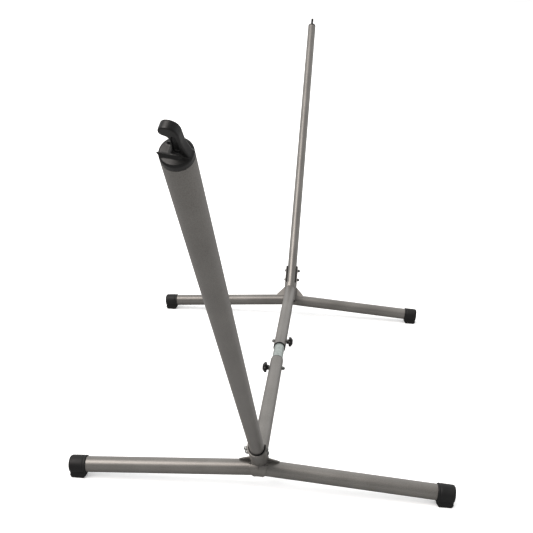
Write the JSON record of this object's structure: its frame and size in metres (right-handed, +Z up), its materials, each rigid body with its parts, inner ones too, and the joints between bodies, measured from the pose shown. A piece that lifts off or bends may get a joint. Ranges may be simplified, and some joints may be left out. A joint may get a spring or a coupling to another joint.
{
  "type": "hammock stand",
  "caption": "Free-standing steel hammock stand: telescopic beam with hand clamps, sloping cross feet with black caps, and long raking arms tipped with swivelling hook caps.",
  "frame": {"origin": "on the floor, under the middle of the beam", "axes": "+Z up, +Y along the beam to the far end, +X to the right when looking along +Y"},
  "size_m": [1.2378, 4.0972, 1.3741],
  "materials": {
    "painted_steel": "satin metallic grey powder coat",
    "galvanised_steel": "bright galvanised",
    "zinc_steel": "zinc plated",
    "black_plastic": "moulded, satin",
    "cap_rubber": "moulded, satin"
  },
  "bodies": {
    "near_frame": {"near_foot_tube_left": "painted_steel", "near_foot_tube_right": "painted_steel", "near_foot_cap_left": "cap_rubber", "near_foot_cap_right": "cap_rubber", "near_socket": "painted_steel", "near_socket_liner": "black_plastic", "near_gusset_left": "painted_steel", "near_gusset_right": "painted_steel", "near_arm_lower": "painted_steel", "near_arm_upper": "painted_steel", "near_arm_spigot": "zinc_steel", "near_arm_bolts": "zinc_steel", "near_arm_nuts": "zinc_steel", "near_base_tube": "painted_steel", "near_base_bush": "black_plastic", "near_clamp_nut": "zinc_steel"},
    "far_frame": {"far_foot_tube_left": "painted_steel", "far_foot_tube_right": "painted_steel", "far_foot_cap_left": "cap_rubber", "far_foot_cap_right": "cap_rubber", "far_socket": "painted_steel", "far_socket_liner": "black_plastic", "far_gusset_left": "painted_steel", "far_gusset_right": "painted_steel", "far_arm_lower": "painted_steel", "far_arm_upper": "painted_steel", "far_arm_spigot": "zinc_steel", "far_arm_bolts": "zinc_steel", "far_arm_nuts": "zinc_steel", "far_base_tube": "painted_steel", "far_base_bush": "black_plastic", "far_clamp_nut": "zinc_steel"},
    "inner_beam": {"inner_tube": "galvanised_steel", "inner_glide_near": "black_plastic", "inner_glide_far": "black_plastic"},
    "near_washer": {"near_clamp_washer": "zinc_steel"},
    "near_knob": {"near_clamp_knob": "black_plastic", "near_clamp_stud": "zinc_steel"},
    "near_hook": {"near_hook_cap": "black_plastic"},
    "far_washer": {"far_clamp_washer": "zinc_steel"},
    "far_knob": {"far_clamp_knob": "black_plastic", "far_clamp_stud": "zinc_steel"},
    "far_hook": {"far_hook_cap": "black_plastic"}
  },
  "joints": [
    {"name": "near_pull_out", "type": "slide", "parent": "near_frame", "child": "inner_beam", "axis": [0, 1, 0], "range_m": [-0.045, 0.15]},
    {"name": "far_pull_out", "type": "slide", "parent": "inner_beam", "child": "far_frame", "axis": [0, 1, 0], "range_m": [-0.045, 0.15]},
    {"name": "near_clamp_travel", "type": "slide", "parent": "near_frame", "child": "near_washer", "axis": [-1, 0, 0], "range_m": [0, 0.00376]},
    {"name": "near_knob_turn", "type": "hinge", "parent": "near_washer", "child": "near_knob", "pos_m": [0, -0.126, 0.13159], "axis": [-1, 0, 0], "range_deg": [0, 1080]},
    {"name": "near_hook_swivel", "type": "hinge", "parent": "near_frame", "child": "near_hook", "pos_m": [0, -1.99514, 1.32263], "axis": [0, -0.7218, 0.6921], "continuous": true},
    {"name": "far_clamp_travel", "type": "slide", "parent": "far_frame", "child": "far_washer", "axis": [1, 0, 0], "range_m": [0, 0.00376]},
    {"name": "far_knob_turn", "type": "hinge", "parent": "far_washer", "child": "far_knob", "pos_m": [0, 0.126, 0.13159], "axis": [1, 0, 0], "range_deg": [0, 1080]},
    {"name": "far_hook_swivel", "type": "hinge", "parent": "far_frame", "child": "far_hook", "pos_m": [0, 1.99514, 1.32263], "axis": [0, 0.7218, 0.6921], "continuous": true}
  ],
  "couplings": [
    {"joint": "near_clamp_travel", "follows": "near_knob_turn", "m_per_rad": 0.00019894},
    {"joint": "far_clamp_travel", "follows": "far_knob_turn", "m_per_rad": 0.00019894}
  ]
}
